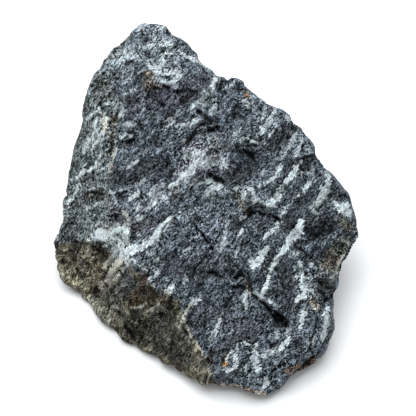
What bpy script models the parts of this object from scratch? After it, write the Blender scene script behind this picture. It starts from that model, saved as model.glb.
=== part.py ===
"""A lump of zebra rock: dark schist with pale veins, broken to a wedge and resting on a flat spot.

The stone is drawn as the eye sees it, looking square at its broad face: across to the right,
up the view and out towards the eye, in millimetres from a point in the middle of that face.
The view then leans back by FACE_LEAN, and its middle stands FACE_HEIGHT above the ground.
"""

import math
import random

import bmesh
import bpy
import numpy as np
from mathutils import Vector, noise

MM = 0.001
FACE_LEAN = math.radians(52)
FACE_HEIGHT = 73.0
EYE_DISTANCE = 1500.0
TRIANGLES = 9400
SMALLEST_DETAIL = 2.5
RIM_ALLOWANCE = 1.7

# The outline of the stone in the view, clockwise from the peak: across and up.
OUTLINE = (
    (-38, 125), (-26, 122), (-16, 114), (-3, 101), (7, 90), (22, 88), (33, 77), (56, 63),
    (67, 50), (74, 34), (84, 24), (92, 16), (97, 1), (99, -6), (97, -19), (88, -34),
    (85, -48), (82, -52), (84, -63), (84, -73), (78, -88), (69, -96), (55, -103), (49, -113),
    (37, -116), (25, -112), (0, -110), (-16, -102), (-34, -89), (-55, -80), (-66, -69),
    (-75, -58), (-93, -39), (-97, -27), (-99, -19), (-93, -3), (-89, 21), (-86, 40), (-79, 63),
    (-80, 70), (-74, 88), (-62, 107), (-53, 113), (-45, 120),
)

# Corners where the broken faces of the seen side meet: across, up and out.
SEEN_CORNERS = (
    (-52, 98, -12), (-50, 84, -1), (-12, 84, -2), (-60, 42, 0), (-60, 10, 4), (-50, -23, 8),
    (-13, -58, 11), (-3, -86, 13), (6, -100, 14), (25, -105, 14), (37, -109, 13), (48, -105, 11),
    (62, -95, 8), (75, -63, 2), (82, -20, -5), (92, 0, -8), (88, 16, -10), (72, 34, -10),
    (64, 50, -12), (53, 63, -13), (22, 85, -13), (20, 20, 6),
)

# Corners of the rim, where the seen side turns under.
RIM_CORNERS = (
    (-38, 125, -34), (-26, 122, -32), (-66, 100, -32), (-80, 69, -35), (-86, 40, -38),
    (-92, 3, -42), (-99, -19, -45), (-97, -32, -48), (-84, -49, -42), (-66, -70, -34),
    (-49, -85, -23), (-23, -97, -12), (-1, -110, 1), (25, -112, 4), (37, -116, 5),
    (49, -113, 2), (69, -97, -8), (84, -63, -16), (97, -10, -30), (86, 24, -40),
)

# Corners of the hidden back and of the lower sides: across, back and above the ground.
BACK_CORNERS = (
    (-72, 88, 40), (-50, 112, 84), (-8, 108, 78), (36, 92, 66), (66, 66, 52), (88, 26, 34),
    (84, -14, 18), (60, -70, 8), (-30, 88, 16), (36, 74, 20), (-80, 40, 22), (-90, 14, 12),
    (-82, -8, 5), (-62, -34, 3),
)

# Corners of the flat spot that the stone rests on: across and back.
REST_CORNERS = ((-46, -4), (-22, -36), (22, -50), (44, -24), (50, 16), (30, 48), (-8, 58), (-40, 38))
REST_DEPTH = 2.0

# Ledges of the seen side, as points across and up. The ground left of the way they run stands
# higher by the rise, and sinks back to the face over the reach.
LEDGES = (
    (5.0, 34.0, ((-7, 70), (0, 62), (6, 55), (8, 42), (11, 28), (21, 16), (30, 5), (41, 1),
                 (51, -1), (59, -11), (63, -19))),
    (4.0, 22.0, ((22, -41), (30, -50), (37, -57), (45, -65), (54, -71))),
    (5.0, 30.0, ((-57, 80), (-46, 83), (-36, 80), (-26, 84), (-13, 83), (0, 88), (6, 89))),
    (3.0, 12.0, ((-52, -34), (-43, -39), (-36, -45), (-28, -50), (-18, -55))),
    (4.0, 18.0, ((61, -95), (68, -84), (73, -73), (75, -63), (73, -55), (71, -45), (73, -30),
                 (81, -16), (85, 0))),
)

# Pits and hollows of the seen side: across, up, half width, half height and depth.
PITS = (
    (-50, 48, 5, 4, 4.0), (4, 59, 6, 6, 4.0), (29, 42, 7, 6, 4.5), (7, 25, 7, 4, 4.5),
    (35, 2, 9, 3.5, 5.0), (49, -67, 6, 7, 5.0), (22, -42, 5, 7, 2.5), (6, -39, 6, 3, 2.0),
    (-40, -40, 4, 3, 2.5), (-37, -52, 9, 4, 3.5), (-23, 74, 22, 9, 3.0), (76, -8, 10, 8, 4.5),
    (-20, -20, 26, 8, 1.5), (-75, 62, 4, 5, 3.0),
)

ACROSS = np.array((1.0, 0.0, 0.0))
UP = np.array((0.0, math.sin(FACE_LEAN), math.cos(FACE_LEAN)))
OUT = np.array((0.0, -math.cos(FACE_LEAN), math.sin(FACE_LEAN)))
VIEW_AXES = np.stack((ACROSS, UP, OUT))
VIEW_MIDDLE = np.array((0.0, 0.0, FACE_HEIGHT))

# The grain of the stone: along the bands, square to them, and square to the broad face.
GRAIN_AXES = np.stack((
    0.62 * ACROSS + 0.78 * UP,
    0.78 * ACROSS - 0.62 * UP,
    OUT,
))


def to_ground(view):
    """Places above the ground of points in the view."""
    return np.asarray(view, dtype=float) @ VIEW_AXES + VIEW_MIDDLE


def to_view(ground):
    """Places in the view of points above the ground."""
    return (ground - VIEW_MIDDLE) @ VIEW_AXES.T


def ease(start, end, value):
    """A smooth step from 0 at the start to 1 at the end."""
    part = np.clip((value - start) / (end - start), 0.0, 1.0)
    return part * part * (3.0 - 2.0 * part)


def clear_scene():
    for old in list(bpy.data.objects):
        bpy.data.objects.remove(old, do_unlink=True)


def new_collection(name):
    collection = bpy.data.collections.new(name)
    bpy.context.scene.collection.children.link(collection)
    return collection


def stone_material():
    """Dull slate-coloured stone."""
    material = bpy.data.materials.new("zebra_stone")
    material.use_nodes = True
    shader = material.node_tree.nodes["Principled BSDF"]
    shader.inputs["Base Color"].default_value = (0.085, 0.105, 0.125, 1.0)
    shader.inputs["Roughness"].default_value = 0.75
    shader.inputs["Metallic"].default_value = 0.0
    return material


def rough_block(collection):
    """The whole stone as the simplest broken block: the hull of its corners."""
    corners = [to_ground(SEEN_CORNERS + RIM_CORNERS), np.array(BACK_CORNERS, dtype=float)]
    corners.append(np.array([(x, y, -REST_DEPTH) for x, y in REST_CORNERS]))
    shape = bmesh.new()
    for corner in np.concatenate(corners):
        shape.verts.new(corner * MM)
    bmesh.ops.convex_hull(shape, input=shape.verts)
    loose = [vert for vert in shape.verts if not vert.link_faces]
    bmesh.ops.delete(shape, geom=loose, context="VERTS")
    mesh = bpy.data.meshes.new("zebra_rock")
    shape.to_mesh(mesh)
    shape.free()
    block = bpy.data.objects.new("zebra_rock", mesh)
    collection.objects.link(block)
    return block


def bake_modifier(stone, kind, **settings):
    """Adds a modifier, takes the mesh it makes and removes it."""
    modifier = stone.modifiers.new(kind.title(), kind)
    for name, value in settings.items():
        setattr(modifier, name, value)
    graph = bpy.context.evaluated_depsgraph_get()
    made = bpy.data.meshes.new_from_object(stone.evaluated_get(graph))
    stone.modifiers.remove(modifier)
    old = stone.data
    stone.data = made
    bpy.data.meshes.remove(old)


def regrid(stone):
    """Covers the stone with an even net of small faces."""
    bake_modifier(stone, "REMESH", mode="VOXEL", voxel_size=SMALLEST_DETAIL * MM, adaptivity=0.0)


def places_of(stone):
    flat = np.empty(3 * len(stone.data.vertices))
    stone.data.vertices.foreach_get("co", flat)
    return flat.reshape(-1, 3) / MM


def facings_of(stone):
    flat = np.empty(3 * len(stone.data.vertices))
    stone.data.vertices.foreach_get("normal", flat)
    return flat.reshape(-1, 3)


def move_to(stone, places):
    stone.data.vertices.foreach_set("co", (places * MM).ravel())
    stone.data.update()


def above_ground(places):
    """How freely the surface may move: not at all on the flat spot."""
    return ease(0.0, 9.0, places[:, 2])


def noise_of(places, seed):
    return np.array([noise.noise(Vector(place) + Vector((seed, 0.0, 0.0))) for place in places])


def add_lumps(stone, size, height, seed):
    """Broad swells and hollows."""
    places = places_of(stone)
    lift = height * noise_of(places / size, seed) * above_ground(places)
    move_to(stone, places + facings_of(stone) * lift[:, None])


def add_chips(stone, count, radii, depths, tilt, seed):
    """Flat spalls: each takes off what stands above a slanted plane near one spot."""
    draw = random.Random(seed)
    places = places_of(stone)
    facings = facings_of(stone)
    for _ in range(count):
        index = draw.randrange(len(places))
        lean = Vector((draw.gauss(0.0, tilt), draw.gauss(0.0, tilt), draw.gauss(0.0, tilt)))
        normal = np.array((Vector(facings[index]) + lean).normalized())
        radius = draw.uniform(*radii)
        spot = places[index] - normal * draw.uniform(*depths)
        apart = places - places[index]
        proud = np.maximum((places - spot) @ normal, 0.0)
        near = 1.0 - ease(0.75 * radius, radius, np.linalg.norm(apart, axis=1))
        same_side = ease(0.2, 0.5, facings @ normal)
        places -= normal * (proud * near * same_side * above_ground(places))[:, None]
    move_to(stone, places)


def facet_heights(places, sizes, seed):
    """Flat facets that meet at creases and small steps, from -1 to 1, one for each grain cell."""
    cells = places @ GRAIN_AXES.T / np.array(sizes) + seed
    heights = np.empty(len(cells))
    for index, cell in enumerate(cells):
        middle = noise.voronoi(Vector(cell))[1][0]
        slant = noise.cell_vector(middle * 17.3) - Vector((0.5, 0.5, 0.5))
        level = noise.cell(middle * 29.9) - 0.5
        heights[index] = level + 2.0 * slant.dot(Vector(cell) - middle)
    return heights


def add_facets(stone, sizes, height, seed):
    """Breaks the surface into facets drawn out along the grain."""
    places = places_of(stone)
    lift = height * facet_heights(places, sizes, seed) * above_ground(places)
    move_to(stone, places + facings_of(stone) * lift[:, None])


def ledge_height(across_up, rise, reach, points):
    """How far a ledge lifts each point of the view: sharply at its line, less and less behind it."""
    best = np.full(len(across_up), np.inf)
    side = np.ones(len(across_up))
    for start, end in zip(points[:-1], points[1:]):
        start = np.array(start, dtype=float)
        run = np.array(end, dtype=float) - start
        apart = across_up - start
        along = np.clip(apart @ run / (run @ run), 0.0, 1.0)
        gap = apart - along[:, None] * run
        distance = np.linalg.norm(gap, axis=1)
        left = run[0] * apart[:, 1] - run[1] * apart[:, 0]
        closer = distance < best
        best = np.where(closer, distance, best)
        side = np.where(closer, np.sign(left), side)
    signed = best * side
    return rise * ease(-1.5, 1.5, signed) * (1.0 - ease(0.0, reach, signed))


def add_named_relief(stone):
    """The ledges and pits that can be seen on the face towards the eye."""
    places = places_of(stone)
    view = to_view(places)
    wander = 1.6 * np.stack((noise_of(places / 7.0, 31.0), noise_of(places / 7.0, 37.0)), axis=1)
    across_up = view[:, :2] + wander
    height = np.zeros(len(places))
    for rise, reach, points in LEDGES:
        height += ledge_height(across_up, rise, reach, points)
    for across, up, half_width, half_height, depth in PITS:
        spread = ((across_up[:, 0] - across) / half_width) ** 2
        spread += ((across_up[:, 1] - up) / half_height) ** 2
        height -= depth * np.exp(-spread * spread)
    towards_eye = ease(0.15, 0.5, facings_of(stone) @ OUT)
    lift = height * towards_eye * above_ground(places)
    move_to(stone, places + OUT * lift[:, None])


def outline_reach(directions):
    """How far the outline is from the middle of the view, for directions in radians."""
    points = np.array(OUTLINE + OUTLINE[:1], dtype=float)
    shares = np.linspace(0.0, 1.0, 12, endpoint=False)[:, None, None]
    dense = (points[:-1] * (1.0 - shares) + points[1:] * shares).reshape(-1, 2)
    reach = np.linalg.norm(dense, axis=1)
    bearing = np.arctan2(dense[:, 1], dense[:, 0])
    return np.interp(directions, bearing, reach, period=2 * math.pi)


def fit_outline(stone, sectors=150):
    """Draws the rim in or out until the stone fills its outline, as seen by the eye."""
    places = places_of(stone)
    for _ in range(4):
        view = to_view(places)
        nearness = EYE_DISTANCE / (EYE_DISTANCE - view[:, 2])
        seen = view[:, :2] * nearness[:, None]
        reach = np.linalg.norm(seen, axis=1)
        bearing = np.arctan2(seen[:, 1], seen[:, 0])
        sector = np.floor((bearing + math.pi) / (2 * math.pi) * sectors).astype(int) % sectors
        rim = np.zeros(sectors)
        np.maximum.at(rim, sector, reach)
        middles = (np.arange(sectors) + 0.5) / sectors * 2 * math.pi - math.pi
        stretch = (outline_reach(middles) + RIM_ALLOWANCE) / rim
        stretch = (np.roll(stretch, 1) + 2.0 * stretch + np.roll(stretch, -1)) / 4.0
        own_rim = np.interp(bearing, middles, rim, period=2 * math.pi)
        own_stretch = np.interp(bearing, middles, stretch, period=2 * math.pi)
        share = ease(0.55, 0.98, reach / own_rim)
        view[:, :2] *= (1.0 + (own_stretch - 1.0) * share)[:, None]
        places = to_ground(view)
    move_to(stone, places)


def cut_flat_spot(stone):
    """Takes off what lies below the ground, which leaves the spot that the stone rests on."""
    shape = bmesh.new()
    shape.from_mesh(stone.data)
    everything = shape.verts[:] + shape.edges[:] + shape.faces[:]
    bmesh.ops.bisect_plane(
        shape, geom=everything, dist=1e-6, plane_co=(0, 0, 0), plane_no=(0, 0, 1), clear_inner=True
    )
    rim = [edge for edge in shape.edges if edge.is_boundary]
    bmesh.ops.holes_fill(shape, edges=rim, sides=0)
    bmesh.ops.triangulate(shape, faces=shape.faces[:])
    shape.to_mesh(stone.data)
    shape.free()
    stone.data.update()


def centre_on_ground(stone):
    """Puts the middle of the stone's box over the origin."""
    places = places_of(stone)
    middle = (places.min(axis=0) + places.max(axis=0)) / 2
    middle[2] = 0.0
    move_to(stone, places - middle)


def build_stone():
    collection = new_collection("zebra_rock")
    stone = rough_block(collection)
    regrid(stone)
    add_lumps(stone, size=52.0, height=4.0, seed=3.1)
    add_chips(stone, count=40, radii=(18.0, 42.0), depths=(1.0, 4.0), tilt=0.16, seed=7)
    add_facets(stone, sizes=(40.0, 24.0, 28.0), height=3.2, seed=4.2)
    add_facets(stone, sizes=(17.0, 9.0, 10.0), height=1.6, seed=9.6)
    add_named_relief(stone)
    fit_outline(stone)
    regrid(stone)
    faces = len(stone.data.polygons) * 2
    bake_modifier(stone, "DECIMATE", ratio=TRIANGLES / faces, use_collapse_triangulate=True)
    cut_flat_spot(stone)
    centre_on_ground(stone)
    stone.data.materials.clear()
    stone.data.materials.append(stone_material())
    return stone


clear_scene()
build_stone()
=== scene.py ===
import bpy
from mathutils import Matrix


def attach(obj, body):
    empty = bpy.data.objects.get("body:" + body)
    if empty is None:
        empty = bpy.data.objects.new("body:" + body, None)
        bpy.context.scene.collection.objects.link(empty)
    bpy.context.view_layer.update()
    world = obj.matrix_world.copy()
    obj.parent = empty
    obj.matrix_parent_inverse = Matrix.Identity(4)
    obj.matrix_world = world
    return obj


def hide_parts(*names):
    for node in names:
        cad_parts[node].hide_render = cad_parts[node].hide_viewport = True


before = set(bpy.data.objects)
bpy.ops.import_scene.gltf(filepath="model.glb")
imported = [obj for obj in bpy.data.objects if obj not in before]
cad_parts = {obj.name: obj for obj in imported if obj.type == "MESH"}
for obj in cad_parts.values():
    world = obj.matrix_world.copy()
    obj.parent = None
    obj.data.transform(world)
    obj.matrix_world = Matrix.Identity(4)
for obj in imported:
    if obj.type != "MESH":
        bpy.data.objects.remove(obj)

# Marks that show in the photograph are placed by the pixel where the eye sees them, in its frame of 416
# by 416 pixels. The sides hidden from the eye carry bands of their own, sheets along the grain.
"""The looks of the zebra rock: its fine broken surface, white bands, brown side and grain.

Marks that show in the photograph are placed by the pixel where the eye sees them, in its frame of
416 by 416 pixels. They run on through the stone as seams do, so its hidden sides carry them too.
"""

import math

import bpy
import numpy as np
from mathutils import Matrix, Vector, noise

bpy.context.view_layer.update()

MM = 0.001

# The view of the photograph, in millimetres: how far it leans back, where its middle is on the
# stone, the eye's place in the view and its distance, and the size of one of its pixels.
VIEW_LEAN = math.radians(52)
VIEW_MIDDLE = np.array((1.07, -13.92, 73.0))
EYE = np.array((1.625, 4.745, 1500.0))
PIXEL = 0.65
IMAGE_SIZE = 416
SENSOR = 36.0

# Width of the surface's small faces in millimetres, and how many triangles it may have.
NET_SIZE = 1.0
TRIANGLES = 196000

ACROSS = np.array((1.0, 0.0, 0.0))
UP = np.array((0.0, math.sin(VIEW_LEAN), math.cos(VIEW_LEAN)))
OUT = np.array((0.0, -math.cos(VIEW_LEAN), math.sin(VIEW_LEAN)))
VIEW_AXES = np.stack((ACROSS, UP, OUT))

# The way small ledges fall in the picture, and in how many steps they fade.
DOWNHILL = np.array((0.30, 0.95))
LEDGE_STEPS = 5

# The grain of the stone: along the bands, square to them, and square to the broad face. It turns
# flatter below a slanting line of the picture, over the two rows given at the column given.
GRAIN_AXES = np.stack((0.62 * ACROSS + 0.78 * UP, 0.78 * ACROSS - 0.62 * UP, OUT))
FLAT_GRAIN_AXES = np.stack((0.94 * ACROSS + 0.34 * UP, 0.34 * ACROSS - 0.94 * UP, OUT))
FLAT_GRAIN_ROWS = (222.0, 242.0)
FLAT_GRAIN_COLUMN = 200.0
FLAT_GRAIN_SLOPE = 0.35

# Facets of the fine relief: height and sizes along the grain's axes in millimetres, then seed.
FACETS = ((1.4, (19.0, 9.0, 11.0), 2.7), (0.6, (8.5, 4.2, 5.0), 6.1))

# Sizes of the stone's textures along the grain's axes, and how far the grain bends, in millimetres.
GRAIN_SIZE = (1.3, 0.62, 0.72)
SPECK_SIZE = (0.80, 0.72, 0.76)
FIBRE_SIZE = (4.2, 0.75, 1.1)
FLAKE_SIZE = (3.8, 1.4, 2.0)
CHIP_SIZE = (9.0, 3.4, 5.0)
EDGE_SIZE = (5.0, 2.2, 3.0)
SEAM_SIZE = (15.0, 5.5, 8.0)
CLOUD_SIZE = (16.0, 5.0, 8.0)
PATCH_SIZE = (22.0, 11.0, 14.0)
GRAIN_BEND = 12.0

# The bump of the grain, its depth in millimetres, and the stone's faint gloss.
BUMP_STRENGTH = 0.45
BUMP_DEPTH = 1.2
SPECULAR = 0.06

# How cracks wander: over what length in millimetres, and how far in pixels.
RAGGED_SIZE = 3.4
RAGGED_SHIFT = 1.5

# The distance inside a band or crack, in millimetres, that stands for nowhere near one.
OUTSIDE = -6.0

WHITE_VEIN = (0.61, 0.69, 0.71, 1.0)
CREAM_VEIN = (0.57, 0.56, 0.48, 1.0)

# White bands and patches: whiteness, then the pixels they run through with the half width at each.
# Whiteness above 1 also covers the dark grains in the band.
WHITE_BANDS = (
    # The peak
    (0.46, (137, 31, 1.2), (142, 27, 1.6), (149, 24, 1.2)),
    (0.61, (155, 28, 1.2), (159, 28, 1.7), (163, 28, 1.2)),
    (0.53, (152, 37, 1.2), (153, 41, 1.6)),
    (0.65, (144, 47, 1.2), (149, 46, 2), (155, 45, 1.2)),
    (0.68, (160, 48, 1.2), (164, 44, 1.7), (168, 42, 1.7), (171, 45, 1.2)),
    (0.53, (108, 62, 0.9), (116, 61, 1.2), (124, 58, 2), (130, 56, 2), (138, 57, 1.6)),
    (0.46, (118, 54, 0.9), (124, 53, 1.4), (131, 52, 1.2)),
    (0.61, (161, 59, 1.4), (164, 55, 2), (169, 52, 2.3), (174, 50, 2), (179, 52, 1.6), (184, 55, 1.7),
     (191, 58, 1.6), (198, 61, 1.4), (204, 66, 1.2), (209, 70, 0.9)),
    (0.65, (147, 64, 1.2), (152, 67, 1.6), (157, 69, 2.3), (160, 66, 1.6), (165, 61, 1.2)),
    (0.61, (154, 71, 1.6), (158, 73, 2.2), (161, 72, 1.6)),
    (0.72, (165, 73, 2), (171, 72, 3.1), (177, 72, 3.5), (179, 76, 2.7), (175, 81, 2.3), (172, 84, 2.7),
     (176, 86, 2.3)),
    (0.46, (160, 83, 1.6), (163, 81, 2), (166, 83, 1.6)),
    (0.38, (131, 91, 0.9), (137, 88, 1.6), (141, 92, 1.2)),
    (0.38, (121, 97, 1.2), (124, 94, 1.6), (123, 100, 1.4)),
    (0.38, (145, 103, 1.7), (143, 105, 1.2)),
    # The left side
    (0.95, (97, 109, 1.2), (104, 104, 1.2), (110, 103, 1.2), (118, 102, 1.2)),
    (0.78, (100, 109, 1.7), (102, 113, 1.9)),
    (0.67, (114, 106, 1.7), (117, 104, 1.7)),
    (1.0, (122, 105, 1.5), (122, 111, 2.2), (120, 116, 2.2)),
    (0.95, (103, 115, 1.9), (106, 120, 2.5), (105, 126, 2.7), (102, 133, 2.3), (99, 137, 1.7)),
    (0.9, (98, 117, 1.2), (95, 125, 1.3), (94, 132, 1.3), (93, 139, 1.3)),
    (1.0, (101, 138, 1.4), (97, 141, 1.7), (94, 144, 1.8), (92, 150, 1.3)),
    (0.78, (90, 140, 1.3), (87, 146, 1.3)),
    (0.78, (98, 109, 1.3), (93, 114, 1.3), (86, 119, 1.2)),
    (1.0, (101, 155, 1.3), (98, 160, 1.5), (96, 165, 1.5), (91, 169, 1.4)),
    (0.84, (89, 160, 1.3), (86, 165, 1.4), (84, 170, 1.3)),
    (1.0, (90, 170, 1.5), (86, 171, 1.9), (82, 173, 2), (80, 176, 1.7), (77, 178, 1.3)),
    (0.9, (79, 182, 1.5), (77, 189, 2.1), (75, 194, 1.9), (72, 199, 1.3), (68, 205, 1.2)),
    (0.78, (84, 207, 1.2), (92, 208, 1.4), (98, 203, 1.2)),
    (0.67, (104, 187, 1.1), (96, 186, 1.1), (89, 189, 1)),
    (0.84, (121, 137, 1.7), (126, 134, 1.9), (131, 136, 1.5)),
    (0.63, (126, 125, 2.3), (131, 124, 2.5), (135, 123, 1.8)),
    (0.56, (117, 143, 0.9), (116, 149, 1), (114, 156, 1.1), (112, 163, 1.1), (110, 170, 0.9)),
    (0.5, (110, 190, 1.1), (114, 198, 1.2), (117, 204, 1.1)),
    # The middle, above the ledge
    (0.55, (168, 127, 2), (171, 124, 2.2), (173, 121, 1.5)),
    (0.5, (181, 126, 1.5), (190, 124, 3), (197, 121, 2.5)),
    (0.6, (186, 111, 1.4), (193, 106, 2.2), (198, 102, 2.4), (203, 99, 1.8)),
    (0.35, (166, 121, 0.9), (174, 117, 1.3), (182, 113, 1.5)),
    (0.9, (202, 99, 1.5), (205, 95, 2.6), (209, 91, 3), (212, 87, 2.6), (214, 82, 2.2), (215, 79, 2)),
    (0.8, (216, 104, 1.5), (213, 109, 1.8), (210, 113, 2.2), (212, 115, 1.6)),
    (0.5, (203, 105, 1.5), (209, 102, 1.5), (216, 99, 1.2)),
    # The right shoulder
    (0.5, (226, 88, 1), (230, 85, 1.5), (234, 82, 1.2)),
    (0.75, (243, 101, 1.8), (246, 103, 2.4), (250, 107, 1.8)),
    (0.42, (266, 108, 1.2), (264, 112, 1.5), (262, 117, 1.2), (259, 121, 1)),
    (0.56, (276, 109, 1.6), (274, 113, 2.2), (271, 118, 2.2), (268, 124, 2.2), (264, 128, 2.4),
     (261, 133, 2), (257, 136, 1.4)),
    (0.5, (286, 117, 1.3), (288, 119, 2), (289, 122, 1.3)),
    (0.45, (280, 122, 0.8), (277, 126, 0.9), (273, 131, 0.8), (270, 136, 0.7)),
    (0.7, (241, 142, 1.2), (244, 139, 1.5), (248, 138, 1.3), (251, 141, 1.2), (256, 143, 1.3)),
    (0.45, (251, 119, 1.2), (248, 124, 1)),
    (0.6, (235, 137, 1.5), (237, 133, 1.4), (240, 129, 0.9)),
    (0.48, (296, 134, 1.3), (293, 140, 1.8), (290, 146, 1.8), (286, 154, 2), (282, 159, 1.5)),
    (0.48, (302, 137, 1.1), (301, 143, 1.6), (299, 149, 1.7), (296, 155, 1.3)),
    (0.45, (310, 150, 1.2), (311, 153, 1.4)),
    (0.7, (281, 166, 1.8), (278, 171, 2.2), (275, 176, 2.2), (270, 181, 1.9), (265, 184, 1.5),
     (259, 186, 1.1)),
    (0.65, (262, 172, 1.6), (259, 176, 1.6)),
    (0.8, (301, 162, 1.5), (298, 166, 2), (294, 172, 2.7), (290, 178, 2.2), (286, 182, 2.2),
     (282, 186, 2), (278, 191, 1.9), (274, 197, 1.7)),
    (0.75, (281, 195, 1.5), (279, 198, 2.2), (274, 201, 2.8), (272, 205, 3), (275, 207, 1.8)),
    (0.6, (243, 189, 1.5), (247, 187, 1.6), (251, 189, 1.8), (253, 194, 1.8), (251, 199, 1.6)),
    (0.9, (243, 193, 2.4), (244, 198, 2.8), (247, 200, 2)),
    (0.75, (233, 190, 1.5), (236, 189, 1.6), (239, 188, 1.2)),
    (0.5, (254, 202, 1.4), (259, 199, 1.6), (263, 203, 2), (266, 206, 1.6)),
    (0.66, (314, 178, 1.3), (311, 182, 1.7), (307, 186, 1.6), (303, 191, 1.1)),
    (0.42, (312, 163, 1.6), (312, 168, 1.8), (309, 171, 1.4)),
    (0.42, (300, 172, 1), (306, 172, 1.2), (310, 173, 1)),
    (0.5, (299, 195, 1), (295, 199, 1.2), (290, 204, 1.2), (285, 208, 1)),
    (0.6, (326, 172, 1.8), (328, 177, 2)),
    (0.9, (328, 181, 3), (327, 187, 4.2), (324, 193, 4.2), (321, 199, 3.4), (316, 205, 2.8),
     (311, 208, 2)),
    (0.9, (335, 203, 2), (339, 206, 3.5), (343, 209, 4.5), (347, 212, 4.5), (345, 206, 3.5),
     (349, 216, 2.5)),
    (0.6, (317, 214, 1.4), (313, 211, 1.6)),
    (0.5, (283, 212, 1.6), (281, 216, 1.8)),
    # The lower right, below the ledge
    (0.9, (279, 221, 2.2), (276, 226, 2.6), (273, 231, 2.6), (269, 234, 2.4), (265, 238, 2)),
    (1.2, (301, 221, 2.2), (300, 226, 3.8), (298, 231, 5), (294, 235, 5.4), (290, 239, 4),
     (288, 244, 3), (285, 249, 2.8), (281, 254, 3.2), (277, 259, 2.8), (274, 264, 2.4),
     (271, 269, 1.8)),
    (0.85, (269, 273, 1.2), (268, 278, 1.8), (267, 284, 2.2), (264, 290, 2.6), (261, 296, 2.8)),
    (0.9, (267, 249, 2), (264, 253, 3), (261, 258, 3.2), (257, 263, 3), (254, 267, 1.8)),
    (0.75, (249, 259, 2), (252, 262, 2.6), (251, 266, 1.5)),
    (0.8, (243, 229, 1.2), (241, 233, 1.5), (237, 238, 1.2)),
    (0.6, (245, 217, 1.8), (241, 219, 1.4)),
    (0.5, (227, 224, 1.2), (225, 232, 1.8), (223, 240, 3.5), (222, 246, 3.2), (220, 251, 1.6)),
    (0.6, (238, 249, 1.4), (237, 252, 1.8), (235, 255, 2)),
    (0.8, (300, 263, 1.8), (300, 268, 2.2), (301, 273, 2.6), (302, 278, 2.8), (303, 283, 3.6),
     (304, 288, 4.2)),
    (0.85, (294, 278, 0.8), (299, 276, 1.1), (304, 277, 1.1), (309, 280, 0.9)),
    (0.9, (297, 300, 2.2), (300, 297, 3), (304, 296, 2)),
    (0.5, (310, 263, 1.5), (313, 266, 1.8)),
    (0.6, (309, 288, 3), (312, 293, 2.6)),
    (0.6, (300, 251, 1.2), (296, 254, 1.8), (291, 257, 1.6)),
    (0.75, (306, 307, 2), (305, 312, 2.6), (303, 317, 2.6), (301, 322, 2.2), (300, 327, 1.5)),
    (0.8, (323, 303, 0.8), (320, 309, 1.1), (318, 314, 0.8)),
    (0.5, (331, 278, 0.8), (335, 274, 0.9), (339, 271, 0.8)),
    (0.45, (338, 239, 0.8), (343, 240, 0.9), (349, 243, 0.8)),
    (0.66, (328, 308, 2.2), (326, 315, 3.2), (327, 321, 2.6), (325, 328, 3), (324, 334, 3),
     (322, 339, 2)),
    (0.6, (314, 336, 1), (312, 340, 1.5), (309, 345, 1.2)),
    (0.75, (288, 329, 2.2), (289, 333, 1.8)),
    (0.8, (288, 337, 2), (287, 341, 2.4), (284, 345, 2.4), (281, 349, 2), (276, 350, 2.2),
     (271, 352, 2.8), (266, 354, 3), (264, 357, 2)),
    (0.78, (256, 346, 1.5), (254, 352, 2.5), (254, 358, 3.2), (256, 364, 3.6), (258, 369, 2.8)),
    (0.5, (276, 332, 1.6), (276, 337, 1.8)),
    (0.95, (244, 342, 1), (247, 344, 1.3), (250, 345, 1)),
    (0.7, (226, 354, 1.6), (226, 359, 2), (225, 364, 1.5)),
    (0.68, (232, 351, 1.2), (235, 356, 2), (236, 362, 2.4), (235, 367, 2.4), (230, 371, 2),
     (224, 370, 1.5)),
    (0.6, (238, 343, 1), (235, 347, 1), (238, 351, 1)),
    (0.85, (246, 291, 2), (245, 297, 2.4), (246, 303, 1.8), (246, 309, 1.2)),
    (0.6, (220, 319, 1.2), (219, 325, 1.6), (216, 330, 2), (213, 334, 2.4), (210, 339, 1.6)),
    (0.4, (233, 331, 1.2), (226, 336, 1.6)),
    (0.66, (254, 292, 0.9), (260, 295, 1.2), (265, 298, 1.3), (270, 301, 1.2), (275, 305, 0.9)),
    (0.85, (192, 303, 2), (195, 300, 2.6), (199, 299, 1.6)),
    (0.75, (266, 378, 2), (267, 384, 2.4), (264, 386, 1.6)),
    (0.5, (245, 365, 0.8), (247, 371, 1.2), (249, 378, 1.2)),
    # The lower left and middle
    (0.95, (171, 218, 2.8), (166, 223, 3.7), (160, 229, 4.2), (157, 235, 4.2), (153, 241, 3.8),
     (147, 243, 3.5), (142, 247, 3.5), (135, 249, 4.4), (129, 251, 5), (124, 256, 3.8),
     (119, 262, 2.4)),
    (0.6, (145, 236, 1.2), (150, 240, 1.6)),
    (1.5, (124, 252, 3.4), (131, 250, 4.8)),
    (1.3, (92, 236, 1.8), (97, 234, 3), (102, 233, 4), (107, 234, 3.4), (113, 232, 2.6),
     (120, 229, 2)),
    (1.5, (98, 237, 3.4), (104, 238, 3.8)),
    (0.95, (104, 246, 1.2), (109, 240, 1.5), (114, 235, 1.5), (120, 230, 1.4)),
    (1.5, (121, 255, 2.4), (127, 251, 4), (134, 249, 3.6)),
    (0.95, (110, 258, 1.2), (115, 251, 1.8), (122, 247, 1.8)),
    (1.3, (125, 255, 4), (119, 262, 3.4), (113, 269, 2.6), (106, 279, 1.8), (99, 288, 1)),
    (0.75, (117, 252, 1.5), (110, 259, 1.8), (104, 267, 1.6)),
    (0.75, (129, 261, 1.5), (123, 269, 1.8), (117, 277, 1.6)),
    (0.7, (133, 258, 1.5), (137, 264, 1.2), (146, 272, 1), (151, 279, 1)),
    (0.45, (141, 248, 0.7), (148, 252, 1), (153, 258, 1), (160, 264, 0.7)),
    (0.6, (141, 263, 0.7), (148, 266, 1), (156, 273, 0.7)),
    (0.7, (197, 300, 1.4), (188, 308, 1.3), (185, 314, 1.1), (184, 321, 1), (188, 329, 0.9),
     (193, 339, 0.8), (200, 349, 0.8), (205, 357, 0.7)),
    (0.4, (209, 367, 1), (210, 374, 1.2), (208, 382, 1)),
    (0.45, (134, 309, 1), (140, 306, 1.4), (146, 303, 1)),
    (0.45, (148, 312, 1), (154, 308, 1.5), (160, 304, 1.2)),
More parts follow.
